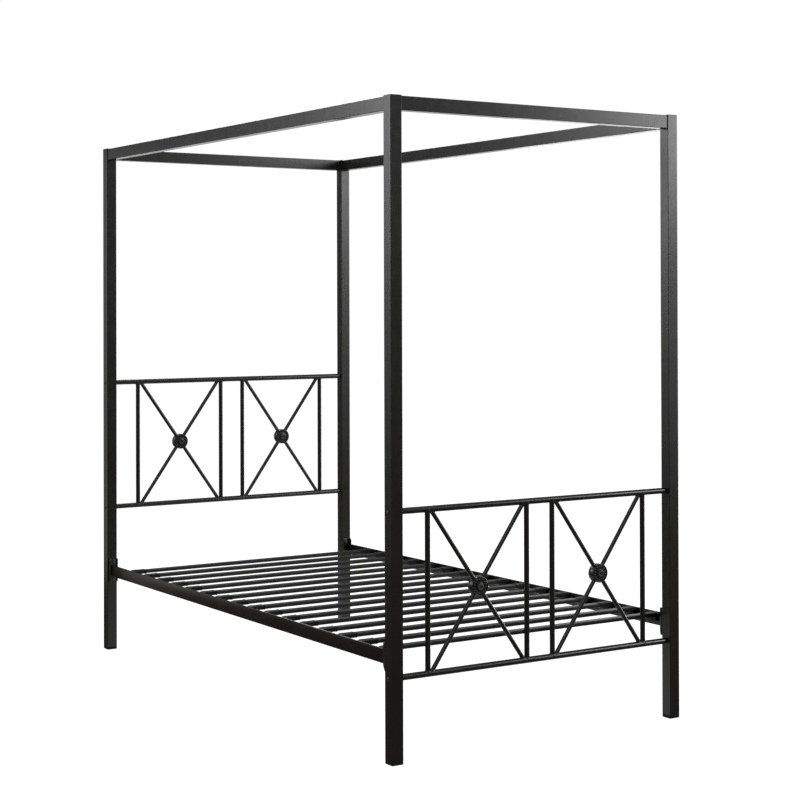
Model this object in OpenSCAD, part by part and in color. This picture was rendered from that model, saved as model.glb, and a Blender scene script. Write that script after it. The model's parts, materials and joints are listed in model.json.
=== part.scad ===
// Four-poster canopy bed of welded steel tube: square posts, canopy rails, a barred panel with
// rosettes at each end, side rails on hook brackets, and cross slats.
// Axes: X across the bed, Y along it with the head end at +Y, Z up. The origin is on the floor
// under the middle of the bed. Lengths are in millimetres.

/* [Overall size] */
// Width over the outer faces of the posts
bed_width = 1035; // [1000:5:1200]
// Length over the outer faces of the posts
bed_length = 2000; // [1960:5:2040]
// Height from the floor to the top of the post caps
bed_height = 1840; // [1500:5:2200]

/* [Posts] */
// Side of the square post tube
post_side = 37; // [34:1:38]
// Wall of the post tube and of the canopy rails
post_wall = 1.5; // [1.2:0.1:2]
// Corner radius of the post tube
post_corner = 1.2; // [0.8:0.1:3]
// Thickness of the cap that closes a post
cap_thickness = 2; // [1.5:0.5:4]
// Height of the glide that a post stands on
glide_height = 10; // [5:1:15]

/* [Canopy rails] */
// Height of a canopy rail
canopy_rail_height = 40; // [36:1:45]
// Thickness of a canopy rail, front to back
canopy_rail_depth = 32; // [28:1:34]

/* [End panels] */
// Diameter of the cross tubes
cross_tube_d = 18; // [16:0.5:20]
// Diameter of the uprights
upright_d = 15.5; // [12:0.5:16]
// Diameter of the slanted rods
rod_d = 12.7; // [10:0.1:13]
// Wall of the cross tubes and uprights
panel_wall = 1.2; // [1:0.1:2]
// Height of the axis of the headboard's top cross tube
head_top_z = 979; // [900:1:1100]
// Height of the axis of the footboard's top cross tube
foot_top_z = 693; // [600:1:800]
// Distance between the axes of the two cross tubes
panel_height = 457.5; // [440:0.5:470]
// Distance from the bed's middle to the inner uprights
inner_upright_x = 46; // [40:1:60]
// Distance from the bed's middle to the outer uprights
outer_upright_x = 388; // [370:1:400]
// Distance along a cross tube from an upright's axis to a slanted rod's axis
rod_step = 9.5; // [9:0.5:12]

/* [Rosettes] */
// Diameter of a rosette
rosette_d = 56; // [48:1:60]
// Diameter of the raised button in its middle
rosette_button_d = 20; // [16:1:24]
// Distance from the panel's middle plane to the top of the button
rosette_button_h = 17; // [14:0.5:20]
// Distance from the panel's middle plane to the top of the rim
rosette_rim_h = 12; // [10:0.5:13]

/* [Side rails] */
// Height of a side rail's upright flange
side_rail_height = 42; // [38:1:50]
// Height of the flange's lower edge above the floor
side_rail_z = 270; // [260:1:280]
// Thickness of the flange and of the ledge
side_rail_wall = 3; // [2:0.5:3]
// Distance from a post's outer face to the flange's outer face
side_rail_inset = 9.5; // [8:0.5:11]
// Height of the top of the ledge above the flange's lower edge
ledge_lift = 20; // [16:1:24]

/* [Hook brackets] */
// Width of a bracket
bracket_width = 32; // [31:0.5:32]
// Depth of a bracket's outer flange along the bed
bracket_outer_depth = 17.5; // [14:0.5:20]
// Depth of a bracket's inner flange along the bed
bracket_inner_depth = 10; // [8:0.5:12]
// How far a bracket reaches above and below the side rail
bracket_reach = 21; // [20:1:25]

/* [Slats] */
// Number of slats
slat_count = 16; // [16:1:16]
// Distance between neighbouring slats
slat_pitch = 113; // [110:0.5:114]
// Distance from the foot posts' inner faces to the middle of the first slat
slat_start = 48; // [30:1:50]
// Width of a slat
slat_width = 30; // [25:1:35]
// Height of a slat
slat_height = 11; // [8:0.5:12]
// Corner radius of a slat
slat_corner = 3; // [1:0.5:4]
// Wall of a slat
slat_wall = 1; // [0.8:0.1:1.2]
// Length of the end cap on a slat
slat_cap_length = 50; // [45:1:55]
// Wall of the end cap over a slat
slat_cap_wall = 1.5; // [1:0.1:2]

/* [Fasteners] */
// Thread diameter of every bolt and screw
bolt_d = 6; // [5:1:6]
// Width of the low round heads on the posts' outer faces
round_head_d = 12; // [10:1:14]

/* [Hidden] */
$fn = 64;

coat_black = [0.06, 0.06, 0.06];
slat_black = [0.08, 0.08, 0.08];
plastic_black = [0.04, 0.04, 0.04];
bolt_black = [0.1, 0.1, 0.1];

ends = ["foot", "head"];
sides = ["left", "right"];

// Places of the posts
post_x = (bed_width - post_side) / 2;
post_y = (bed_length - post_side) / 2;
inner_x = bed_width / 2 - post_side;
inner_y = bed_length / 2 - post_side;
tube_top = bed_height - cap_thickness;
hollow = post_side - 2 * post_wall;

// Plugs that hold caps and glides in the post tubes
plug_side = hollow - 0.4;
plug_corner = 0.6;
cap_plug_length = 9;
glide_plug_length = 20;

// Bolts, and the play of their holes
hole_d = bolt_d + 0.4;
insert_length = 14;
bolt_bite = 10;
round_head_height = 2.5;
pan_head_d = 10;
pan_head_height = 4;
collar_d = 17;
collar_height = 1.5;
hex_head_d = 12.7;
hex_head_height = 5;

// Canopy rails: the two screws in one post pass at different heights
canopy_z = tube_top - canopy_rail_height / 2;
cross_screw_z = canopy_z - 10;
long_screw_z = canopy_z + 4;
canopy_corner = 1.5;

// Side rails, ledges and brackets
rail_x = bed_width / 2 - side_rail_inset;
ledge_z = side_rail_z + ledge_lift;
bracket_bottom = side_rail_z - bracket_reach;
bracket_top = side_rail_z + side_rail_height + bracket_reach;
bracket_web = 3;
bracket_flange = 2.5;
bracket_round = 8;
bracket_slant = [11, 18];
inner_slant = [3, 13];
bracket_bolt_x = (inner_x + bracket_flange + rail_x - side_rail_wall) / 2;
bracket_bolt_edge = 11;
bracket_bolt_length = 16;

// Slats and their end caps
slat_z = ledge_z + 15.5;
cap_outer_x = rail_x - side_rail_wall - 5;
cap_inner_x = cap_outer_x - slat_cap_length;
slat_end_x = cap_outer_x - 8;
cap_drop = 2;
cap_slope = 10;

// Rosette profile
rim_inner_r = 24;
groove_r = 20.5;
groove_h = rosette_rim_h - 1.7;
dome_h = rosette_button_h - 3;
dish_r = 4;
dish_depth = 1;
edge_round = 1.2;

function top_z(end) = end == "head" ? head_top_z : foot_top_z;
function bottom_z(end) = top_z(end) - panel_height;
function slat_y(i) = -inner_y + slat_start + i * slat_pitch;
function two_digits(n) = str(n < 10 ? "0" : "", n);

// A rectangle with round corners, centred on the origin
module round_rect(width, height, r) {
    square([width, height - 2 * r], center = true);
    square([width - 2 * r, height], center = true);
    for (x = [-1, 1], y = [-1, 1])
        translate([x * (width / 2 - r), y * (height / 2 - r)]) circle(r = r);
}

// Copies of a piece of the head end's right corner: one corner, or all four
module at_corner(end, side) {
    mirror([side == "left" ? 1 : 0, 0, 0]) mirror([0, end == "foot" ? 1 : 0, 0]) children();
}
module at_all_corners() {
    for (end = ends, side = sides) at_corner(end, side) children();
}

// A piece of an end panel, in the plane of its posts
module in_panel(end) {
    translate([0, end == "head" ? post_y : -post_y, 0]) children();
}

// A cylinder between two points of a panel, given as [x, z]
module bar(from, to, d) {
    run = to - from;
    translate([from[0], 0, from[1]])
        rotate([0, atan2(run[0], run[1]), 0]) cylinder(d = d, h = norm(run));
}

// ---- Posts ----

module post(end, side) {
    color(coat_black)
    at_corner(end, side)
    difference() {
        translate([post_x, post_y, glide_height])
            linear_extrude(tube_top - glide_height)
                difference() {
                    round_rect(post_side, post_side, post_corner);
                    round_rect(hollow, hollow, plug_corner);
                }
        // Through holes for the panel's two bolts
        for (z = [top_z(end), bottom_z(end)])
            translate([inner_x - 1, post_y, z])
                rotate([0, 90, 0]) cylinder(d = hole_d, h = post_side + 2);
        // Holes in the face towards the bed's middle, for the bracket bolts
        for (z = [bracket_bottom + bracket_bolt_edge, bracket_top - bracket_bolt_edge])
            wall_hole_along_y(bracket_bolt_x, z);
        wall_hole_along_y(post_x, long_screw_z);
        translate([inner_x - 1, post_y, cross_screw_z])
            rotate([0, 90, 0]) cylinder(d = hole_d, h = post_wall + 2);
    }
}

module wall_hole_along_y(x, z) {
    translate([x, inner_y - 1, z]) rotate([-90, 0, 0]) cylinder(d = hole_d, h = post_wall + 2);
}

module post_caps() {
    color(plastic_black)
    at_all_corners()
    translate([post_x, post_y, tube_top]) {
        linear_extrude(cap_thickness) round_rect(post_side, post_side, post_corner);
        translate([0, 0, -cap_plug_length])
            linear_extrude(cap_plug_length) round_rect(plug_side, plug_side, plug_corner);
    }
}

module foot_glides() {
    color(plastic_black)
    at_all_corners()
    translate([post_x, post_y, 0]) {
        linear_extrude(glide_height) round_rect(post_side, post_side, post_corner);
        translate([0, 0, glide_height])
            linear_extrude(glide_plug_length) round_rect(plug_side, plug_side, plug_corner);
    }
}

// ---- Canopy rails ----

// A rail along X, centred, with a drilled insert welded into each end
module canopy_rail(length, screw_z) {
    difference() {
        rotate([90, 0, 90])
            linear_extrude(length, center = true)
                round_rect(canopy_rail_depth, canopy_rail_height, canopy_corner);
        cube([
            length - 2 * insert_length,
            canopy_rail_depth - 2 * post_wall,
            canopy_rail_height - 2 * post_wall
        ], center = true);
        translate([-length / 2 - 1, 0, screw_z - canopy_z])
            rotate([0, 90, 0]) cylinder(d = hole_d, h = length + 2);
    }
}

module canopy_rail_across(end) {
    color(coat_black)
    in_panel(end) translate([0, 0, canopy_z]) canopy_rail(2 * inner_x, cross_screw_z);
}

module canopy_rail_along(side) {
    color(coat_black)
    translate([side == "right" ? post_x : -post_x, 0, canopy_z])
        rotate([0, 0, 90]) canopy_rail(2 * inner_y, long_screw_z);
}

// ---- End panels ----

// The space that a cross tube fills
module cross_tube_space(z) {
    translate([-inner_x, 0, z]) rotate([0, 90, 0]) cylinder(d = cross_tube_d, h = 2 * inner_x);
}

// A tube whose ends hold drilled inserts for the panel bolts
module cross_tube(end, z) {
    color(coat_black)
    in_panel(end)
    difference() {
        cross_tube_space(z);
        translate([-inner_x + insert_length, 0, z])
            rotate([0, 90, 0])
                cylinder(d = cross_tube_d - 2 * panel_wall, h = 2 * (inner_x - insert_length));
        translate([-inner_x - 1, 0, z])
            rotate([0, 90, 0]) cylinder(d = hole_d, h = 2 * inner_x + 2);
    }
}

module upright(end, x) {
    color(coat_black)
    in_panel(end)
    difference() {
        bar([x, bottom_z(end)], [x, top_z(end)], upright_d);
        bar([x, bottom_z(end)], [x, top_z(end)], upright_d - 2 * panel_wall);
        cross_tube_space(bottom_z(end));
        cross_tube_space(top_z(end));
    }
}

// Corners of the right-hand cross of rods, where the rods' axes meet the cross tubes' axes
function cross_in(z) = [inner_upright_x + rod_step, z];
function cross_out(z) = [outer_upright_x - rod_step, z];

module rising_bar(end, d) {
    bar(cross_out(bottom_z(end)), cross_in(top_z(end)), d);
}
module falling_bar(end, d) {
    bar(cross_in(bottom_z(end)), cross_out(top_z(end)), d);
}

// The rod that runs in one piece, from the outside at the bottom to the inside at the top
module long_rod(end, side) {
    color(coat_black)
    in_panel(end)
    mirror([side == "left" ? 1 : 0, 0, 0])
    difference() {
        rising_bar(end, rod_d);
        cross_tube_space(bottom_z(end));
        cross_tube_space(top_z(end));
    }
}

// The crossing rods, each cut in two where it meets the long rod
module half_rods(end) {
    color(coat_black)
    in_panel(end)
    for (m = [0, 1])
    mirror([m, 0, 0])
    difference() {
        falling_bar(end, rod_d);
        rising_bar(end, rod_d + 0.4);
        cross_tube_space(bottom_z(end));
        cross_tube_space(top_z(end));
    }
}

// One face of a rosette, from its axis outwards, as [radius, height above the panel's plane]
function rosette_face() = [
    [0, rosette_button_h - dish_depth],
    [dish_r, rosette_button_h - dish_depth / 3],
    [dish_r + edge_round, rosette_button_h],
    [rosette_button_d / 2 - edge_round, rosette_button_h],
    [rosette_button_d / 2, rosette_button_h - edge_round],
    [rosette_button_d / 2, dome_h],
    [(rosette_button_d / 2 + groove_r) / 2, dome_h - 0.7],
    [groove_r, rosette_rim_h - 0.5],
    [groove_r, groove_h],
    [rim_inner_r, groove_h],
    [rim_inner_r + edge_round, rosette_rim_h],
    [rosette_d / 2 - edge_round, rosette_rim_h],
    [rosette_d / 2, rosette_rim_h - edge_round]
];

module rosette(end, side) {
    face = rosette_face();
    last = len(face) - 1;
    back = [for (i = [0 : last]) [face[last - i][0], -face[last - i][1]]];
    cross_x = (inner_upright_x + outer_upright_x) / 2;
    color(coat_black)
    in_panel(end)
    mirror([side == "left" ? 1 : 0, 0, 0])
    difference() {
        translate([cross_x, 0, (top_z(end) + bottom_z(end)) / 2])
            rotate([90, 0, 0]) rotate_extrude() polygon(concat(face, back));
        rising_bar(end, rod_d);
        falling_bar(end, rod_d);
    }
}

// ---- Side rails and brackets ----

// The upright flange, which runs from web to web of its brackets
module side_rail(side) {
    end_y = inner_y - bracket_web;
    color(coat_black)
    mirror([side == "left" ? 1 : 0, 0, 0])
    translate([rail_x - side_rail_wall, -end_y, side_rail_z])
        cube([side_rail_wall, 2 * end_y, side_rail_height]);
}

// The ledge welded inside the flange at half its height, which carries the slats
module side_rail_ledge(side) {
    end_y = inner_y - bracket_inner_depth;
    color(coat_black)
    mirror([side == "left" ? 1 : 0, 0, 0])
    translate([inner_x, -end_y, ledge_z - side_rail_wall])
        cube([rail_x - side_rail_wall - inner_x, 2 * end_y, side_rail_wall]);
}

// A flange of a bracket as a thin plate, from an outline given as [depth from the post, height]
module bracket_plate(x, width) {
    translate([x, inner_y, 0])
        rotate([90, 0, 90]) linear_extrude(width) mirror([1, 0]) children();
}

// The outer flange is round at its top corner and cut off slantwise at its lower one
module outer_flange_outline() {
    depth = bracket_outer_depth;
    polygon([
        [0, bracket_bottom],
        [depth - bracket_slant[0], bracket_bottom],
        [depth, bracket_bottom + bracket_slant[1]],
        [depth, bracket_top - bracket_round],
        [0, bracket_top - bracket_round]
    ]);
    translate([0, bracket_top - bracket_round - 1])
        square([depth - bracket_round, bracket_round + 1]);
    translate([depth - bracket_round, bracket_top - bracket_round]) circle(r = bracket_round);
}

module inner_flange_outline() {
    depth = bracket_inner_depth;
    polygon([
        [0, bracket_bottom],
        [depth - inner_slant[0], bracket_bottom],
        [depth, bracket_bottom + inner_slant[1]],
        [depth, bracket_top],
        [0, bracket_top]
    ]);
}

// A folded plate: a web against the post and two flanges along its upright edges
module hook_bracket(end, side) {
    color(coat_black)
    at_corner(end, side) {
        bracket_plate(inner_x, bracket_flange) inner_flange_outline();
        bracket_plate(inner_x + bracket_width - bracket_flange, bracket_flange)
            outer_flange_outline();
        difference() {
            translate([inner_x, inner_y - bracket_web, bracket_bottom])
                cube([bracket_width, bracket_web, bracket_top - bracket_bottom]);
            for (z = [bracket_bottom + bracket_bolt_edge, bracket_top - bracket_bolt_edge])
                translate([bracket_bolt_x, inner_y - bracket_web - 1, z])
                    rotate([-90, 0, 0]) cylinder(d = hole_d, h = bracket_web + 2);
        }
    }
}

// ---- Slats ----

module slat(i) {
    color(slat_black)
    translate([0, slat_y(i), slat_z])
        rotate([90, 0, 90])
            linear_extrude(2 * slat_end_x, center = true)
                difference() {
                    round_rect(slat_width, slat_height, slat_corner);
                    round_rect(slat_width - 2 * slat_wall, slat_height - 2 * slat_wall,
                               slat_corner - slat_wall);
                }
}

// A sleeve over the slat's end, with a block under it that stands on the ledge
module slat_end_cap() {
    sleeve_top = slat_z + slat_height / 2 + slat_cap_wall;
    sleeve_bottom = slat_z - slat_height / 2 - slat_cap_wall;
    cap_width = slat_width + 2 * slat_cap_wall;
    difference() {
        translate([0, cap_width / 2, 0])
            rotate([90, 0, 0])
                linear_extrude(cap_width)
                    polygon([
                        [cap_inner_x, sleeve_bottom],
                        [inner_x, sleeve_bottom],
                        [inner_x, ledge_z],
                        [cap_outer_x, ledge_z],
                        [cap_outer_x, sleeve_top - cap_drop],
                        [cap_outer_x - cap_slope, sleeve_top],
                        [cap_inner_x, sleeve_top]
                    ]);
        translate([cap_inner_x - 1, 0, slat_z])
            rotate([90, 0, 90])
                linear_extrude(slat_end_x - cap_inner_x + 1)
                    round_rect(slat_width, slat_height, slat_corner);
    }
}

module slat_end_caps() {
    color(plastic_black)
    for (i = [0 : slat_count - 1], m = [0, 1])
        translate([0, slat_y(i), 0]) mirror([m, 0, 0]) slat_end_cap();
}

// ---- Fasteners ----

// Bolts through the posts into the cross tubes, with low round heads on the outer faces
module panel_bolts() {
    color(bolt_black)
    for (end = ends, side = sides, z = [top_z(end), bottom_z(end)])
        at_corner(end, side)
        translate([bed_width / 2, post_y, z]) {
            rotate([0, 90, 0])
                cylinder(d1 = round_head_d, d2 = 0.7 * round_head_d, h = round_head_height);
            rotate([0, -90, 0]) cylinder(d = bolt_d, h = post_side + bolt_bite);
        }
}

// Collared hexagon bolts through the brackets into the posts
module bracket_bolts() {
    color(bolt_black)
    at_all_corners()
    for (z = [bracket_bottom + bracket_bolt_edge, bracket_top - bracket_bolt_edge])
        translate([bracket_bolt_x, inner_y - bracket_web, z]) {
            rotate([-90, 0, 0]) cylinder(d = bolt_d, h = bracket_bolt_length);
            rotate([90, 0, 0]) cylinder(d = collar_d, h = collar_height);
            rotate([90, 0, 0]) cylinder(d = hex_head_d, h = hex_head_height, $fn = 6);
        }
}

// Screws inside the post tops, one into each canopy rail
module canopy_screws() {
    bite = post_wall + insert_length - 2;
    color(bolt_black)
    at_all_corners() {
        translate([inner_x + post_wall, post_y, cross_screw_z]) {
            rotate([0, 90, 0]) cylinder(d = pan_head_d, h = pan_head_height);
            rotate([0, -90, 0]) cylinder(d = bolt_d, h = bite);
        }
        translate([post_x, inner_y + post_wall, long_screw_z]) {
            rotate([-90, 0, 0]) cylinder(d = pan_head_d, h = pan_head_height);
            rotate([90, 0, 0]) cylinder(d = bolt_d, h = bite);
        }
    }
}

// ---- The assembly ----

for (end = ends, side = sides) {
    post(end, side);
    hook_bracket(end, side);
}
post_caps();
foot_glides();

for (end = ends)
    canopy_rail_across(end);
for (side = sides) {
    canopy_rail_along(side);
    side_rail(side);
    side_rail_ledge(side);
}

for (end = ends) {
    cross_tube(end, top_z(end));
    cross_tube(end, bottom_z(end));
    half_rods(end);
    upright_places = [-outer_upright_x, -inner_upright_x, inner_upright_x, outer_upright_x];
    for (i = [0 : 3])
        upright(end, upright_places[i]);
    for (side = sides) {
        long_rod(end, side);
        rosette(end, side);
    }
}

for (i = [0 : slat_count - 1])
    slat(i);
slat_end_caps();
panel_bolts();
bracket_bolts();
canopy_screws();
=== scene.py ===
"""A four-poster canopy bed of powder-coated steel, on a pale floor in soft studio light."""

import json
import math

import bmesh
import bpy
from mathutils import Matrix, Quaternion, Vector


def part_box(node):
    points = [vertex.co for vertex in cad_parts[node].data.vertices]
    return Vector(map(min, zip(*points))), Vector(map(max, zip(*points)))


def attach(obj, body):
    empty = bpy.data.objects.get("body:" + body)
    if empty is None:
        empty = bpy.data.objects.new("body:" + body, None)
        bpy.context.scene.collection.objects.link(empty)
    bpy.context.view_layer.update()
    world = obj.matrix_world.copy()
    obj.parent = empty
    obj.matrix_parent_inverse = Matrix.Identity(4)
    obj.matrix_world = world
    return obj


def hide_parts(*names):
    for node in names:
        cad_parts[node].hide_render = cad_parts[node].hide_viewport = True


MM = 0.001
TURN = 2 * math.pi
UP = Vector((0, 0, 1))
ENDS = ("foot", "head")
SIDES = ("left", "right")
END_SIGN = {"foot": -1, "head": 1}
SIDE_SIGN = {"left": -1, "right": 1}

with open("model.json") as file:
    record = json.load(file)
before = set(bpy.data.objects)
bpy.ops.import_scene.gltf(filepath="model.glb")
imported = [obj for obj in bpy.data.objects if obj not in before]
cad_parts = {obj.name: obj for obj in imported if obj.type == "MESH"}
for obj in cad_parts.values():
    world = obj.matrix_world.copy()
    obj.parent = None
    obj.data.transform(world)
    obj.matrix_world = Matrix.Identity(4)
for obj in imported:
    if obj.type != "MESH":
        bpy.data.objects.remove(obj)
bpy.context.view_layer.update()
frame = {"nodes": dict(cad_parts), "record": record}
scene = bpy.context.scene


# ---- Camera ----

CAMERA_PLACE = (-3.0765, -5.08634, 1.26163)
CAMERA_YAW, CAMERA_PITCH, CAMERA_ROLL = (math.radians(a) for a in (33.002, 0.468, -0.167))
CAMERA_LENS, CAMERA_SENSOR = 79.244, 36
CAMERA_SHIFT = (-0.024917, -0.13694)


def make_camera():
    camera = bpy.data.objects.new("camera", bpy.data.cameras.new("camera"))
    camera.data.sensor_width = CAMERA_SENSOR
    camera.data.lens = CAMERA_LENS
    camera.data.shift_x, camera.data.shift_y = CAMERA_SHIFT
    forward = Vector((
        math.sin(CAMERA_YAW) * math.cos(CAMERA_PITCH),
        math.cos(CAMERA_YAW) * math.cos(CAMERA_PITCH),
        math.sin(CAMERA_PITCH),
    ))
    level = forward.cross(UP).normalized()
    right = level * math.cos(CAMERA_ROLL) + level.cross(forward) * math.sin(CAMERA_ROLL)
    up = right.cross(forward)
    matrix = camera.matrix_world.copy()
    for row in range(3):
        matrix[row][0], matrix[row][1], matrix[row][2] = right[row], up[row], -forward[row]
        matrix[row][3] = CAMERA_PLACE[row]
    camera.matrix_world = matrix
    scene.collection.objects.link(camera)
    scene.camera = camera


# ---- Shader nodes ----

# The colour sockets of a mix node, which share their names with its number sockets
MIX_A, MIX_B, MIX_RESULT = 6, 7, 2


def link(tree, a, out, b, into):
    tree.links.new(a.outputs[out], b.inputs[into])


def node(tree, kind, values=None, **settings):
    """A new node. values are what its inputs hold, and settings are its own properties."""
    made = tree.nodes.new(kind)
    for name, value in settings.items():
        setattr(made, name, value)
    for name, value in (values or {}).items():
        made.inputs[name].default_value = value
    return made


def ramp(tree, stops):
    """A colour ramp, from (position, grey or colour)."""
    made = node(tree, "ShaderNodeValToRGB")
    elements = made.color_ramp.elements
    while len(elements) < len(stops):
        elements.new(0.5)
    for element, (position, value) in zip(elements, stops):
        element.position = position
        element.color = (*value, 1) if isinstance(value, tuple) else (value, value, value, 1)
    return made


def noise(tree, place, scale, detail):
    made = node(tree, "ShaderNodeTexNoise", {"Scale": scale, "Detail": detail})
    link(tree, place, "Object", made, "Vector")
    return made


def bump(tree, texture, strength, depth):
    made = node(tree, "ShaderNodeBump", {"Strength": strength, "Distance": depth})
    link(tree, texture, "Fac", made, "Height")
    return made


# ---- World ----

# The room's colour by height, from straight down (0) through the horizon (0.5) to straight up (1)
ROOM_COLOURS = [
    (0.0, (0.06, 0.055, 0.05)), (0.44, (0.05, 0.045, 0.04)), (0.52, (0.13, 0.13, 0.13)),
    (0.62, (0.16, 0.16, 0.165)), (1.0, (0.35, 0.35, 0.36)),
]
# The lit backdrop far behind the bed, low down: undersides seen at a glancing angle reflect it.
# Its band is on the same scale of heights, and its sector is by how nearly a direction faces it.
BACKDROP_YAW = math.radians(33)
BACKDROP_BAND = [(0.36, 0.0), (0.42, 1.0), (0.487, 1.0), (0.505, 0.0)]
BACKDROP_SECTOR = [(0.75, 0.0), (0.9, 1.0)]
BACKDROP_GLOW = 1.3
WHITE_STRENGTH = 1.02


def make_world():
    """White behind the bed, and a dim room with a darker floor in the coat's reflections."""
    world = bpy.data.worlds.new("studio")
    world.use_nodes = True
    scene.world = world
    tree = world.node_tree
    tree.nodes.clear()
    place = node(tree, "ShaderNodeTexCoord")
    split = node(tree, "ShaderNodeSeparateXYZ")
    height = node(tree, "ShaderNodeMapRange", {"From Min": -1, "From Max": 1})
    link(tree, place, "Generated", split, "Vector")
    link(tree, split, "Z", height, "Value")

    room = ramp(tree, ROOM_COLOURS)
    band = ramp(tree, BACKDROP_BAND)
    link(tree, height, "Result", room, "Fac")
    link(tree, height, "Result", band, "Fac")
    toward = (math.sin(BACKDROP_YAW), math.cos(BACKDROP_YAW), 0)
    facing = node(tree, "ShaderNodeVectorMath", {1: toward}, operation="DOT_PRODUCT")
    sector = ramp(tree, BACKDROP_SECTOR)
    both = node(tree, "ShaderNodeMath", operation="MULTIPLY")
    link(tree, place, "Generated", facing, 0)
    link(tree, facing, "Value", sector, "Fac")
    link(tree, band, "Color", both, 0)
    link(tree, sector, "Color", both, 1)

    glow = (BACKDROP_GLOW, BACKDROP_GLOW, BACKDROP_GLOW, 1)
    lit = node(tree, "ShaderNodeMix", {MIX_B: glow}, data_type="RGBA")
    link(tree, both, 0, lit, "Factor")
    link(tree, room, "Color", lit, MIX_A)
    reflected = node(tree, "ShaderNodeBackground")
    link(tree, lit, MIX_RESULT, reflected, "Color")
    white = {"Color": (1, 1, 1, 1), "Strength": WHITE_STRENGTH}
    seen = node(tree, "ShaderNodeBackground", white)
    path = node(tree, "ShaderNodeLightPath")
    choice = node(tree, "ShaderNodeMixShader")
    out = node(tree, "ShaderNodeOutputWorld")
    link(tree, path, "Is Camera Ray", choice, "Fac")
    link(tree, reflected, 0, choice, 1)
    link(tree, seen, 0, choice, 2)
    link(tree, choice, 0, out, "Surface")


# ---- Lights and floor ----

# Name, place, what it faces, width, height, radiance and roll in degrees
SOFTBOXES = [
    # Mirrored by the faces that point to the foot end
    ("softbox_front_right", (4.9, -4.65, 3.1), (0, 0, 1.6), 2.3, 2.4, 9.5, 0),
    ("strip_front_right", (5.75, -3.7, 1.05), (0.2, -0.9, 0.5), 0.9, 0.9, 5.0, 0),
    ("wall_front_right", (5.1, -4.3, 1.05), (0, 0, 1.05), 2.6, 1.5, 1.3, 0),
    # Mirrored by the faces that point left
    ("softbox_back_left", (-5.2, 4.1, 2.95), (0, 0, 1.6), 2.6, 2.6, 5.2, 16),
    ("wall_back_left", (-5.1, 4.0, 0.9), (0, 0, 0.9), 2.4, 1.3, 0.5, 0),
    ("card_back", (-1.45, 2.6, 1.0), (-1.0, 0.5, 1.0), 1.1, 2.0, 0.33, 0),
    # Mirrored by the rails' undersides and by the right edges of the bars
    ("floor_glow", (0.5, 0.65, 0.004), (0.5, 0.65, 1.0), 2.0, 3.3, 0.5, 0),
    ("backdrop_right", (5.6, 3.9, 1.9), (0, -0.6, 0.8), 3.6, 2.6, 1.6, 0),
    ("strip_back_right", (4.9, 1.9, 0.62), (0, -0.5, 0.5), 1.9, 1.1, 6.0, 0),
    # Mirrored by the slats' tops and the upper edges of the tubes
    ("softbox_back_top", (0.2, 3.7, 4.1), (0, 0, 0.6), 2.6, 1.5, 10.0, 0),
    ("softbox_camera", (-2.6, -4.6, 3.9), (0, -0.6, 0.6), 2.0, 1.5, 3.0, 0),
    ("softbox_top", (0.6, -0.4, 4.6), (0.0, 0.0, 0.3), 3.0, 3.0, 0.8, 0),
]
FLOOR_REACH = 60
FLOOR_GREY = 0.2
FLOOR_GLOW = 0.98


def make_softbox(name, place, target, width, height, radiance, roll):
    light = bpy.data.lights.new(name, "AREA")
    light.shape = "RECTANGLE"
    light.size, light.size_y = width, height
    light.energy = radiance * math.pi * width * height
    lamp = bpy.data.objects.new(name, light)
    lamp.location = place
    aim = (Vector(target) - Vector(place)).to_track_quat("-Z", "Y")
    lamp.rotation_euler = (aim @ Quaternion((0, 0, 1), math.radians(roll))).to_euler()
    lamp.visible_camera = False
    scene.collection.objects.link(lamp)


def make_floor():
    """A floor that looks white and that the coat's reflections leave out."""
    mesh = bpy.data.meshes.new("floor")
    corner_points = [(x * FLOOR_REACH, y * FLOOR_REACH, 0)
                     for x, y in ((-1, -1), (1, -1), (1, 1), (-1, 1))]
    mesh.from_pydata(corner_points, [], [(0, 1, 2, 3)])
    floor = bpy.data.objects.new("floor", mesh)
    scene.collection.objects.link(floor)
    floor.visible_glossy = False
    material = bpy.data.materials.new("floor_white")
    material.use_nodes = True
    shader = material.node_tree.nodes["Principled BSDF"]
    shader.inputs["Base Color"].default_value = (FLOOR_GREY, FLOOR_GREY, FLOOR_GREY, 1)
    shader.inputs["Roughness"].default_value = 0.9
    shader.inputs["Specular IOR Level"].default_value = 0.0
    shader.inputs["Emission Color"].default_value = (1, 1, 1, 1)
    shader.inputs["Emission Strength"].default_value = FLOOR_GLOW
    mesh.materials.append(material)


# ---- Materials ----

DRIFT_SCALE, PATCH_SCALE, PEEL_SCALE = 9, 38, 420
PEEL_DEPTH, GRAIN_DEPTH = 0.06 * MM, 0.03 * MM
SPECK_MIX = 0.6


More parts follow.
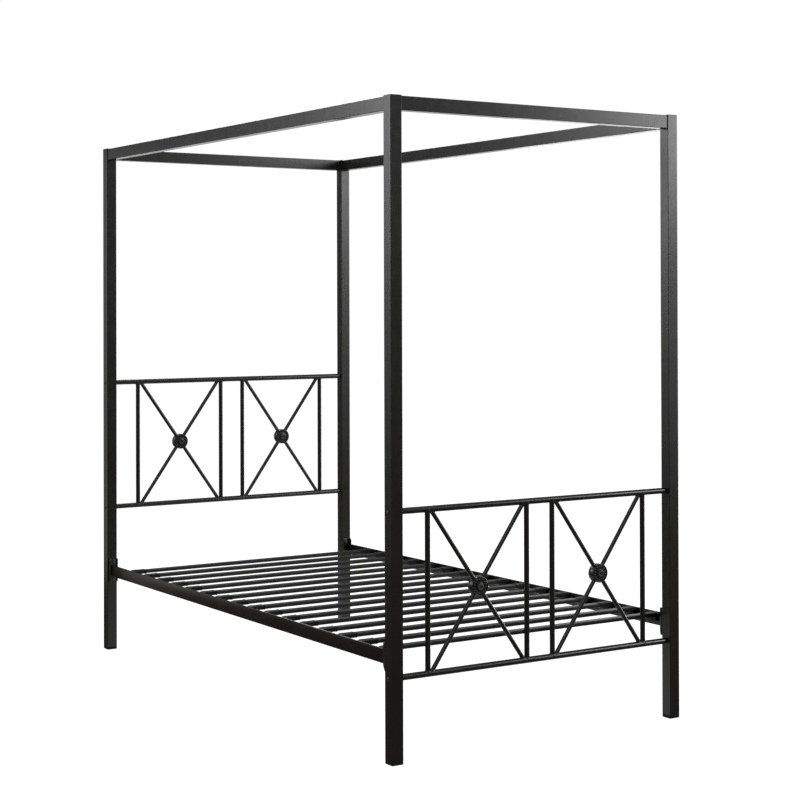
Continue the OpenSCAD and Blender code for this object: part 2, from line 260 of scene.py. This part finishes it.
def coat(name, dark, light, rough, peel, grain, grain_scale, specular=0.5):
    """A powder coat or moulded black: drifting colour and gloss, orange peel, and fine grain."""
    material = bpy.data.materials.new(name)
    material.use_nodes = True
    tree = material.node_tree
    shader = tree.nodes["Principled BSDF"]
    shader.inputs["Specular IOR Level"].default_value = specular
    place = node(tree, "ShaderNodeTexCoord")

    drift = noise(tree, place, DRIFT_SCALE, 4)
    fine = noise(tree, place, grain_scale, 3)
    tone = ramp(tree, [(0.3, dark), (0.7, light)])
    speck = ramp(tree, [(0.35, 0.85), (0.65, 1.0)])
    toned = node(tree, "ShaderNodeMix", data_type="RGBA", blend_type="MULTIPLY")
    toned.inputs["Factor"].default_value = SPECK_MIX
    link(tree, drift, "Fac", tone, "Fac")
    link(tree, fine, "Fac", speck, "Fac")
    link(tree, tone, "Color", toned, MIX_A)
    link(tree, speck, "Color", toned, MIX_B)
    link(tree, toned, MIX_RESULT, shader, "Base Color")

    patches = noise(tree, place, PATCH_SCALE, 5)
    gloss = node(tree, "ShaderNodeMapRange", {
        "From Min": 0.3, "From Max": 0.7, "To Min": rough[0], "To Max": rough[1],
    })
    link(tree, patches, "Fac", gloss, "Value")
    link(tree, gloss, "Result", shader, "Roughness")

    peel_bump = bump(tree, noise(tree, place, PEEL_SCALE, 2), peel, PEEL_DEPTH)
    grain_bump = bump(tree, fine, grain, GRAIN_DEPTH)
    link(tree, peel_bump, "Normal", grain_bump, "Normal")
    link(tree, grain_bump, "Normal", shader, "Normal")
    return material


def make_materials():
    return {
        "frame_coat": coat(
            "frame_coat_black", (0.0062, 0.0057, 0.0051), (0.0085, 0.0080, 0.0074),
            rough=(0.24, 0.28), peel=0.05, grain=0.02, grain_scale=2600),
        "slat_coat": coat(
            "slat_coat_black", (0.0070, 0.0066, 0.0062), (0.0095, 0.0092, 0.0088),
            rough=(0.4, 0.46), peel=0.08, grain=0.04, grain_scale=2400, specular=0.25),
        "cap_plastic": coat(
            "cap_plastic_black", (0.0050, 0.0049, 0.0048), (0.0070, 0.0069, 0.0067),
            rough=(0.54, 0.64), peel=0.15, grain=0.4, grain_scale=1500, specular=0.15),
        "bolt_steel": coat(
            "bolt_steel_black", (0.020, 0.020, 0.020), (0.030, 0.030, 0.031),
            rough=(0.34, 0.46), peel=0.2, grain=0.5, grain_scale=3200),
        # Painted sheen: the rosettes' middle rings get a lighter base colour that stands in for their
        # reflections of the lights
        "ring_painted_sheen": coat(
            "rosette_ring_painted_sheen", (0.036, 0.035, 0.034), (0.066, 0.065, 0.063),
            rough=(0.26, 0.34), peel=0.1, grain=0.1, grain_scale=3000),
    }


# ---- Shapes ----

class Shape:
    """Vertices and faces of a piece, gathered from closed lofts."""

    def __init__(self):
        self.points, self.faces = [], []

    def loft(self, rings, looped=False, centres=False):
        """Joins rings of equal size. A looped loft closes on itself, and centres end it in fans."""
        start, count = len(self.points), len(rings[0])
        for ring in rings:
            self.points.extend(tuple(p) for p in ring)
        spans = len(rings) if looped else len(rings) - 1
        for i in range(spans):
            a, b = start + i * count, start + (i + 1) % len(rings) * count
            for j in range(count):
                k = (j + 1) % count
                self.faces.append((a + j, a + k, b + k, b + j))
        if looped:
            return
        for first, ring in ((start, rings[0]), (start + (len(rings) - 1) * count, rings[-1])):
            if centres:
                middle = sum((Vector(p) for p in ring), Vector()) / count
                self.points.append(tuple(middle))
                hub = len(self.points) - 1
                self.faces.extend((first + j, first + (j + 1) % count, hub) for j in range(count))
            else:
                self.faces.append(tuple(first + j for j in range(count)))

    def piece(self, name, slot, replaces=(), sharp=38, finish=None):
        """Makes the mesh. Edges past the sharp angle stay hard, and finish overrides the slot's look."""
        mesh = bpy.data.meshes.new(name)
        mesh.from_pydata(self.points, [], self.faces)
        shell = bmesh.new()
        shell.from_mesh(mesh)
        bmesh.ops.recalc_face_normals(shell, faces=shell.faces)
        shell.to_mesh(mesh)
        shell.free()
        for polygon in mesh.polygons:
            polygon.use_smooth = True
        mesh.set_sharp_from_angle(angle=math.radians(sharp))
        mesh.materials.append(materials[finish or slot])
        made = bpy.data.objects.new(name, mesh)
        scene.collection.objects.link(made)
        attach(made, "root")
        if replaces:
            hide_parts(*replaces)


def rounded(width, height, radius, steps=5):
    """Outline of a rectangle with round corners, about the origin."""
    outline = []
    for quarter, (sx, sy) in enumerate(((1, 1), (-1, 1), (-1, -1), (1, -1))):
        for i in range(steps + 1):
            angle = (quarter + i / steps) * math.pi / 2
            outline.append((sx * (width / 2 - radius) + radius * math.cos(angle),
                            sy * (height / 2 - radius) + radius * math.sin(angle)))
    return outline


def centre(name):
    low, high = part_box(name)
    return (low + high) / 2


def corners():
    """Each corner's end and side, and which way they lie along X and Y."""
    for end in ENDS:
        for side in SIDES:
            yield end, side, SIDE_SIGN[side], END_SIGN[end]


# ---- Post caps and glides ----

# Each level of a profile is what its height is measured from, that height, how much narrower
# than the post it is, and its corner radius, in millimetres. The tube is the post's cut end.
CAP_PROFILE = [
    ("tube", -9, 5.4, 0.5), ("tube", -8, 3.4, 0.6), ("tube", 0, 3.4, 0.6), ("tube", 0, 0.9, 1.1),
    ("tube", 0.3, 0.2, 1.3), ("top", -1, 0, 1.3), ("top", -0.5, 0.4, 1.3), ("top", -0.15, 1.2, 1.2),
    ("top", 0, 2.4, 1.1), ("top", 0, 9, 0.9),
]
GLIDE_PROFILE = [
    ("floor", 0, 7, 1.2), ("floor", 0.1, 4, 1.3), ("floor", 0.6, 1.8, 1.4),
    ("floor", 1.8, 0.5, 1.5), ("floor", 3.5, 0, 1.5), ("tube", -1.1, 0, 1.5),
    ("tube", -0.3, 0.5, 1.4), ("tube", 0, 1.4, 1.2), ("tube", 0, 3.4, 0.6),
    ("tube", 18, 3.4, 0.6), ("tube", 20, 6, 0.5),
]


def square_column(shape, middle, side, profile, heights):
    shape.loft([[(middle.x + u, middle.y + v, heights[start] + rise * MM)
                 for u, v in rounded(side - inset * MM, side - inset * MM, radius * MM)]
                for start, rise, inset, radius in profile])


def make_post_ends():
    caps, glides = Shape(), Shape()
    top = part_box("post_caps")[1].z
    for end, side, _, _ in corners():
        low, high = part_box(f"post_{end}_{side}")
        middle, width = (low + high) / 2, high.x - low.x
        square_column(caps, middle, width, CAP_PROFILE, {"tube": high.z, "top": top})
        square_column(glides, middle, width, GLIDE_PROFILE, {"tube": low.z, "floor": 0})
    caps.piece("post_cap_set", "cap_plastic", ["post_caps"])
    glides.piece("foot_glide_set", "cap_plastic", ["foot_glides"])


# ---- Welds of the end panels ----

def bar_radius(name):
    """Half of a bar's thickness, which is its box's depth."""
    low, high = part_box(name)
    return (high.y - low.y) / 2


TUBE_R = bar_radius("footboard_top_tube")
UPRIGHT_R = bar_radius("footboard_upright_1")
ROD_R = bar_radius("footboard_half_rods")
# Distance along a cross tube from an upright's axis to a slanted rod's axis
ROD_STEP = 9.5 * MM
WELD_LEG = 2.4 * MM
WELD_STEPS = 56


def weld_ring(shape, foot, away, radius):
    """A fillet weld round a bar whose axis leaves foot, on a cross tube's axis, along away."""
    side = Vector((0, 1, 0))
    other = away.cross(side).normalized()
    rings = []
    for i in range(WELD_STEPS):
        angle = TURN * i / WELD_STEPS
        out = side * math.cos(angle) + other * math.sin(angle)
        start = out * radius
        # Where this line of the bar's surface leaves the tube, from the roots of a quadratic
        a = away.z ** 2
        b = 2 * start.z * away.z
        c = start.y ** 2 + start.z ** 2 - TUBE_R ** 2
        run = (-b + math.sqrt(max(b * b - 4 * a * c, 0))) / (2 * a)
        meet = start + away * run
        normal = Vector((0, meet.y, meet.z)).normalized()
        meet += foot
        spread = (out - normal * out.dot(normal)).normalized()
        bulge = (out + normal).normalized()
        ripple = 1 + 0.09 * math.cos(14 * angle) + 0.05 * math.sin(5 * angle + foot.x * 40)
        leg = WELD_LEG * ripple
        rings.append([
            meet - bulge * 1.2 * MM,
            meet + away * leg * 0.9 - out * 0.5 * MM,
            meet + away * leg - out * 0.02 * MM,
            meet + away * leg * 0.55 + bulge * leg * 0.16 + out * 0.2 * MM,
            meet + bulge * leg * 0.42,
            meet + spread * leg * 0.55 + bulge * leg * 0.16 + normal * 0.1 * MM,
            meet + spread * leg - normal * 0.45 * MM,
            meet + spread * leg * 0.9 - normal * 1.0 * MM,
        ])
    shape.loft(rings, looped=True)


def make_welds():
    for end in ENDS:
        shape = Shape()
        top_tube, bottom_tube = centre(f"{end}board_top_tube"), centre(f"{end}board_bottom_tube")
        y, top, bottom = top_tube.y, top_tube.z, bottom_tube.z
        places = [centre(f"{end}board_upright_{i}").x for i in (1, 2, 3, 4)]
        for x in places:
            weld_ring(shape, Vector((x, y, bottom)), UP, UPRIGHT_R)
            weld_ring(shape, Vector((x, y, top)), -UP, UPRIGHT_R)
        for outer, inner in ((places[0], places[1]), (places[3], places[2])):
            step = ROD_STEP if outer < inner else -ROD_STEP
            a, b = outer + step, inner - step
            for low_x, high_x in ((a, b), (b, a)):
                low, high = Vector((low_x, y, bottom)), Vector((high_x, y, top))
                away = (high - low).normalized()
                weld_ring(shape, low, away, ROD_R)
                weld_ring(shape, high, -away, ROD_R)
        shape.piece(f"{end}board_welds", "frame_coat")


# ---- Rosettes ----

BEADS = 16
BEAD_STEPS = 14
BEAD_MIDDLE, BEAD_HALF, BEAD_HEIGHT = 20 * MM, 3.4 * MM, 2.5 * MM
# How far the rim lies below the top of the button
RIM_DROP = 5 * MM
RING_STEPS = 64
# Profiles of one face from the centre outwards, as (radius, height), in millimetres. The heights
# of the rivet head, the seat of the ring round it and the ring are from the top of the button,
# and those of the flat, the bed of the beads and the outer rim are from the top of the rim.
RIVET = [(0.7, -0.35), (1.6, -0.55), (2.5, -1.0), (3.3, -1.7), (3.9, -2.6), (4.2, -3.4),
         (4.5, -3.6), (4.8, -3.3)]
RING_SEAT = [(9.7, -3.2)]
RING = [(4.8, -3.3), (5.1, -1.9), (5.5, -0.8), (6.1, -0.2), (6.9, 0), (7.7, -0.12), (8.5, -0.5),
        (9.1, -1.1), (9.5, -2.0), (9.7, -3.2), (9.7, -5.0), (4.8, -5.0)]
FLAT = [(9.8, 0.4), (10.2, -0.6), (11.2, -1.0), (13.0, -1.1), (15.0, -1.1), (16.2, -1.3)]
BEAD_BED = [((BEAD_MIDDLE + BEAD_HALF * u) / MM, -2.3)
            for u in (-1, -0.9, -0.7, -0.4, 0, 0.4, 0.7, 0.9, 1)]
OUTER_RIM = [(23.6, -2.1), (23.9, -1.0), (24.5, -0.3), (25.3, 0), (26.4, -0.05), (27.2, -0.4),
             (27.7, -1.1), (27.95, -2.2), (27.9, -3.4), (27.5, -4.2), (27.5, -4.8), (27.8, -5.4)]
# The last point of each face, (radius, height from the middle plane), where the two faces join
WAIST = (27.9 * MM, 1.5 * MM)


def rosette_profile(rim, button):
    """One face from the centre outwards, as (radius, height from the middle plane)."""
    points = [(r * MM, button + h * MM) for r, h in RIVET + RING_SEAT]
    points += [(r * MM, rim + h * MM) for r, h in FLAT + BEAD_BED + OUTER_RIM]
    return points + [WAIST]


def bead_height(radius, angle):
    """Height of the ring of beads over its bed."""
    across = (radius - BEAD_MIDDLE) / BEAD_HALF
    along = (angle * BEADS / TURN) % 1 * 2 - 1
    return BEAD_HEIGHT * math.sqrt(max(0, 1 - across ** 2 - along ** 2))


def facing_ring(middle, radius, height, steps, beaded=False):
    """A ring about an axis along Y. Beads stand away from the middle plane, on both faces."""
    ring = []
    for i in range(steps):
        angle = TURN * i / steps
        bead = bead_height(radius, angle) if beaded else 0
        ring.append((middle.x + radius * math.cos(angle),
                     middle.y + height + math.copysign(bead, height),
                     middle.z + radius * math.sin(angle)))
    return ring


def make_rosette(end, side):
    low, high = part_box(f"{end}board_rosette_{side}")
    middle, button = (low + high) / 2, (high.y - low.y) / 2
    face = rosette_profile(button - RIM_DROP, button)
    whole = face + [(r, -h) for r, h in reversed(face)]
    body = Shape()
    body.loft([facing_ring(middle, r, h, BEADS * BEAD_STEPS, beaded=True) for r, h in whole],
              centres=True)
    body.piece(f"rosette_{end}board_{side}", "frame_coat", [f"{end}board_rosette_{side}"], sharp=50)
    rings = Shape()
    for facing in (-1, 1):
        rings.loft([facing_ring(middle, r * MM, facing * (button + h * MM), RING_STEPS)
                    for r, h in RING], looped=True)
    # The rings wear the painted sheen, a lighter base colour in place of their reflections of the lights
    rings.piece(f"rosette_ring_{end}board_{side}", "frame_coat", [f"{end}board_rosette_{side}"],
                finish="ring_painted_sheen")


# ---- Side rails and ledges ----

FLANGE_EDGE, LEDGE_EDGE, LEAST_EDGE = 1.45 * MM, 1.0 * MM, 0.2 * MM
# How a plate's ends are eased, as (distance from the end, how far in), in millimetres
END_EASE = [(0, 0.5), (0.15, 0.15), (0.5, 0)]
STITCHES = 12
STITCH_LENGTH, STITCH_SIZE, STITCH_STEPS = 40 * MM, 2.6 * MM, 24


def plate_along_y(shape, node_name, edge):
    """A plate that fills a node's box, with rounded long edges and eased ends."""
    low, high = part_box(node_name)
    middle, size = (low + high) / 2, high - low
    levels = [(low.y + along * MM, inset * MM) for along, inset in END_EASE]
    levels += [(high.y - along * MM, inset * MM) for along, inset in reversed(END_EASE)]
    shape.loft([[(middle.x + u, y, middle.z + v) for u, v in rounded(
        size.x - 2 * inset, size.z - 2 * inset, max(edge - inset, LEAST_EDGE), 4)]
        for y, inset in levels])


def stitch(shape, x, inward, z, y):
    """A short weld bead in the corner below the ledge."""
    rings = []
    for i in range(STITCH_STEPS + 1):
        t = i / STITCH_STEPS
        size = STITCH_SIZE * min(1, 5 * min(t, 1 - t) + 0.25) * (1 + 0.08 * math.cos(t * 60))
        at = y + (t - 0.5) * STITCH_LENGTH
        rings.append([
            (x - inward * 0.3 * MM, at, z + 0.3 * MM), (x + inward * size, at, z + 0.3 * MM),
            (x + inward * size * 0.98, at, z - 0.05 * MM), (x + inward * size * 0.55, at, z - size * 0.5),
            (x + inward * 0.02 * MM, at, z - size), (x - inward * 0.3 * MM, at, z - size),
        ])
    shape.loft(rings)


def make_side_rails():
    for side in SIDES:
        flange = Shape()
        plate_along_y(flange, f"side_rail_{side}", FLANGE_EDGE)
        flange.piece(f"rail_flange_{side}", "frame_coat", [f"side_rail_{side}"])
        ledge = Shape()
        plate_along_y(ledge, f"side_rail_ledge_{side}", LEDGE_EDGE)
        # The ledge is stitched to the flange's inner face
        flange_low, flange_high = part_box(f"side_rail_{side}")
        low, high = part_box(f"side_rail_ledge_{side}")
        inward = -SIDE_SIGN[side]
        corner_x = flange_high.x if inward > 0 else flange_low.x
        pitch = (high.y - low.y) / STITCHES
        for i in range(STITCHES):
            stitch(ledge, corner_x, inward, low.z, low.y + (i + 0.5) * pitch)
        ledge.piece(f"rail_ledge_{side}", "frame_coat", [f"side_rail_ledge_{side}"])


# ---- Hook brackets ----

BRACKET_FLANGE, BRACKET_WEB = 2.5 * MM, 3 * MM
BRACKET_BEND, BRACKET_FILLET, BRACKET_EDGE = 3 * MM, 1.2 * MM, 0.5 * MM
BRACKET_SPANS = 44
# How near its ends a bracket's outline is drawn in, and how far in at the end, in millimetres
BRACKET_END, BRACKET_END_IN = 0.5, 0.35
# The outer flange is rounded at its top and swept in towards its foot
OUTER_DEPTH, OUTER_ROUND, OUTER_SWEEP, OUTER_SWEEP_IN = 17.5 * MM, 8 * MM, 18 * MM, 11 * MM
# The inner flange is rounded at its top and slanted at its foot
INNER_DEPTH, INNER_ROUND, INNER_SLANT, INNER_SLANT_IN = 10 * MM, 3 * MM, 13 * MM, 3 * MM


def round_loss(distance, radius):
    """How far a corner of this radius draws an edge in, at a distance from the end."""
    t = min(max(distance / radius, 0), 1)
    return radius * (1 - math.sqrt(max(0, 1 - (1 - t) ** 2)))


def outer_depth(z, low, high):
    """How far the outer flange reaches from the post at a height."""
    depth = OUTER_DEPTH - round_loss(high - z, OUTER_ROUND)
    if z < low + OUTER_SWEEP:
        depth -= OUTER_SWEEP_IN * (1 - (z - low) / OUTER_SWEEP) ** 1.15
    return depth


def inner_depth(z, low, high):
    """How far the inner flange reaches from the post at a height."""
    depth = INNER_DEPTH - round_loss(high - z, INNER_ROUND)
    if z < low + INNER_SLANT:
        depth -= INNER_SLANT_IN * (1 - (z - low) / INNER_SLANT)
    return depth


def arc(cx, cy, radius, start, stop, steps):
    angles = [math.radians(start + (stop - start) * i / steps) for i in range(steps + 1)]
    return [(cx + radius * math.cos(a), cy + radius * math.sin(a)) for a in angles]


def channel(width, outer, inner, edge):
    """Outline of the channel, drawn in by edge.

    Its points are (distance outwards from the inner flange's face, distance from the post).
    """
    bend, fillet, ease = BRACKET_BEND, BRACKET_FILLET, BRACKET_EDGE
    flange, web = BRACKET_FLANGE, BRACKET_WEB
    line = arc(bend + edge, bend + edge, bend, 180, 270, 6)
    line += arc(width - bend - edge, bend + edge, bend, 270, 360, 6)
    line += arc(width - ease - edge, outer - ease - edge, ease, 0, 90, 2)
    line += arc(width - flange + ease + edge, outer - ease - edge, ease, 90, 180, 2)
    line += arc(width - flange - fillet + edge, web + fillet - edge, fillet, 0, -90, 3)
    line += arc(flange + fillet - edge, web + fillet - edge, fillet, 270, 180, 3)
    line += arc(flange - ease - edge, inner - ease - edge, ease, 0, 90, 2)
    line += arc(ease + edge, inner - ease - edge, ease, 90, 180, 2)
    return line


def make_bracket(end, side, x_sign, y_sign):
    low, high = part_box(f"hook_bracket_{end}_{side}")
    start = low.x if x_sign > 0 else high.x
    against = high.y if y_sign > 0 else low.y
    span = (high.z - low.z) / MM
    heights = [0, 0.12, BRACKET_END]
    heights += [span * i / BRACKET_SPANS for i in range(1, BRACKET_SPANS)]
    heights += [span - BRACKET_END, span - 0.12, span]
    rings = []
    for height in heights:
        z = low.z + height * MM
        near = min(height, span - height)
        edge = BRACKET_END_IN * MM * max(0, 1 - near / BRACKET_END) ** 2
        outer, inner = outer_depth(z, low.z, high.z), inner_depth(z, low.z, high.z)
        rings.append([(start + x_sign * u, against - y_sign * v, z)
                      for u, v in channel(high.x - low.x, outer, inner, edge)])
    shape = Shape()
    shape.loft(rings)
    shape.piece(f"rail_bracket_{end}_{side}", "frame_coat", [f"hook_bracket_{end}_{side}"])


# ---- Bolts ----

BOLT_SIDES = 48
SIXTH = math.pi / 3
# Turned profiles, as (height from the face under the head, radius, how far it is a hexagon)
PANEL_BOLT_SHANK_AND_DOME = [
    (-46, 2.6, 0), (-45.4, 3, 0), (0, 3, 0), (0, 5.7, 0), (0.15, 5.95, 0), (0.5, 6, 0),
    (0.95, 5.8, 0), (1.5, 5.3, 0), (2.0, 4.5, 0), (2.3, 3.7, 0),
]
# The lip of the hexagon socket is measured from the top of the head
PANEL_BOLT_LIP = [(-0.05, 2.9, 0.3), (0, 2.5, 0.7), (-0.2, 2.15, 1)]
PANEL_BOLT_SOCKET = [(0.5, 2.05, 1), (0.3, 1.2, 1)]
BRACKET_BOLT = [
    (-16, 2.6, 0), (-15.4, 3, 0), (0, 3, 0), (0, 8.3, 0), (0.3, 8.5, 0), (0.9, 8.4, 0),
    (1.4, 7.4, 0.1), (1.7, 5.8, 0.8), (1.9, 5.5, 1), (4.2, 5.5, 1), (4.7, 5.35, 0.7),
    (5.0, 4.9, 0.1), (5.0, 3.9, 0), (4.8, 3.6, 0),
]
# A bracket bolt's distance from the bracket's inner side, and from its top or foot
BRACKET_BOLT_IN, BRACKET_BOLT_UP = 13 * MM, 11 * MM


def lathe(shape, origin, axis, profile):
    """A turned solid about an axis, from one of the profiles above, in millimetres."""
    side = UP if abs(axis.z) < 0.5 else Vector((1, 0, 0))
    other = axis.cross(side)
    rings = []
    for height, radius, hexagon in profile:
        ring = []
        for i in range(BOLT_SIDES):
            angle = TURN * i / BOLT_SIDES
            within = (angle + SIXTH / 2) % SIXTH - SIXTH / 2
            r = radius * MM * (1 + hexagon * (1 / math.cos(within) - 1))
            across = side * math.cos(angle) + other * math.sin(angle)
            ring.append(origin + axis * height * MM + across * r)
        rings.append(ring)
    shape.loft(rings)


def make_panel_bolts():
    """Low round heads with hexagon sockets, on the posts' outer faces."""
    shape = Shape()
    low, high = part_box("panel_bolts")
    for end, side, x_sign, _ in corners():
        post_low, post_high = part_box(f"post_{end}_{side}")
        face, top = (post_high.x, high.x) if x_sign > 0 else (post_low.x, low.x)
        proud = abs(top - face) / MM
        lip = [(proud + h, r, hexagon) for h, r, hexagon in PANEL_BOLT_LIP]
        for tube in ("top", "bottom"):
            middle = centre(f"{end}board_{tube}_tube")
            lathe(shape, Vector((face, middle.y, middle.z)), Vector((x_sign, 0, 0)),
                  PANEL_BOLT_SHANK_AND_DOME + lip + PANEL_BOLT_SOCKET)
    shape.piece("panel_bolt_set", "bolt_steel", ["panel_bolts"])


def make_bracket_bolts():
    """Collared hexagon heads on the brackets' webs."""
    shape = Shape()
    for end, side, x_sign, y_sign in corners():
        low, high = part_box(f"hook_bracket_{end}_{side}")
        x = low.x + BRACKET_BOLT_IN if x_sign > 0 else high.x - BRACKET_BOLT_IN
        y = high.y - BRACKET_WEB if y_sign > 0 else low.y + BRACKET_WEB
        for z in (low.z + BRACKET_BOLT_UP, high.z - BRACKET_BOLT_UP):
            lathe(shape, Vector((x, y, z)), Vector((0, -y_sign, 0)), BRACKET_BOLT)
    shape.piece("bracket_bolt_set", "bolt_steel", ["bracket_bolts"])


# ---- Slats' end caps ----

CAP_LENGTH = 50 * MM
CAP_WALL = 1.5 * MM
# Levels along the slat: what the place is measured from and how far outwards, how much narrower
# than the sleeve, how far below its top, what the underside is measured from and how far up,
# and the corner radius, in millimetres. The ledge place is its inner edge.
SLAT_CAP_PROFILE = [
    ("mouth", 6, 3.2, 1.7, "sleeve", 1.7, 2.6),
    ("mouth", 0.6, 2.8, 1.45, "sleeve", 1.45, 2.8),
    ("mouth", 0, 1.6, 0.8, "sleeve", 0.8, 3.2),
    ("mouth", 0.3, 0.4, 0.2, "sleeve", 0.2, 3.4),
    ("mouth", 1.2, 0, 0, "sleeve", 0, 3.4),
    ("mouth", 4.2, 0, 0, "sleeve", 0, 3.4),
    ("mouth", 5.0, 0.9, 0.4, "sleeve", 0.4, 3.2),
    ("ledge", -1.2, 0.9, 0.4, "sleeve", 0.4, 3.2),
    ("ledge", -0.2, 0.5, 0.4, "sleeve", -0.6, 2.6),
    ("ledge", 0.3, 0.4, 0.4, "block", 0.6, 2.0),
    ("ledge", 1.0, 0.4, 0.4, "block", 0, 1.6),
    ("outer", -10, 0.4, 0.5, "block", 0, 1.6),
    ("outer", -6, 0.4, 0.9, "block", 0, 1.8),
    ("outer", -1.6, 0.6, 1.9, "block", 0, 2.0),
    ("outer", -0.5, 1.4, 2.5, "block", 0.3, 2.2),
    ("outer", 0, 3.2, 3.6, "block", 1.2, 2.2),
]


def slat_names():
    return [name for name in sorted(frame["nodes"])
            if name.startswith("slat_") and name != "slat_end_caps"]


def make_slat_caps():
    """A moulded sleeve on each slat's end, with a lipped mouth and a block that stands on the ledge."""
    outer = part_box("slat_end_caps")[1].x
    places = {
        "mouth": outer - CAP_LENGTH,
        "ledge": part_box("side_rail_ledge_right")[0].x,
        "outer": outer,
    }
    ledge_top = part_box("side_rail_ledge_left")[1].z
    for side in SIDES:
        shape = Shape()
        for slat in slat_names():
            low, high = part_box(slat)
            y, width = (low.y + high.y) / 2, high.y - low.y + 2 * CAP_WALL
            top = high.z + CAP_WALL
            undersides = {"sleeve": low.z - CAP_WALL, "block": ledge_top}
            rings = []
            for place, along, inset, drop, underside, rise, radius in SLAT_CAP_PROFILE:
                x = SIDE_SIGN[side] * (places[place] + along * MM)
                z_high, z_low = top - drop * MM, undersides[underside] + rise * MM
                outline = rounded(width - inset * MM, z_high - z_low, radius * MM, 4)
                rings.append([(x, y + u, (z_high + z_low) / 2 + v) for u, v in outline])
            shape.loft(rings)
        shape.piece(f"slat_cap_row_{side}", "cap_plastic", ["slat_end_caps"])


# ---- CAD nodes that stay ----

def finish_nodes():
    """Gives each CAD node its coat. Those that a piece replaces aren't shown."""
    slots = {material["slot"] for material in frame["record"]["materials"]}
    slats = slat_names()
    for name, obj in frame["nodes"].items():
        slot = "frame_coat"
        if name in slats:
            slot = "slat_coat"
        elif name == "canopy_screws":
            slot = "bolt_steel"
        assert slot in slots
        if not obj.data.materials:
            obj.data.materials.append(materials[slot])
        for material_slot in obj.material_slots:
            material_slot.material = materials[slot]


make_camera()
make_world()
for softbox in SOFTBOXES:
    make_softbox(*softbox)
make_floor()
scene.view_settings.view_transform = "Standard"
materials = make_materials()
make_post_ends()
make_welds()
for board_end in ENDS:
    for board_side in SIDES:
        make_rosette(board_end, board_side)
make_side_rails()
for corner in corners():
    make_bracket(*corner)
make_panel_bolts()
make_bracket_bolts()
make_slat_caps()
finish_nodes()
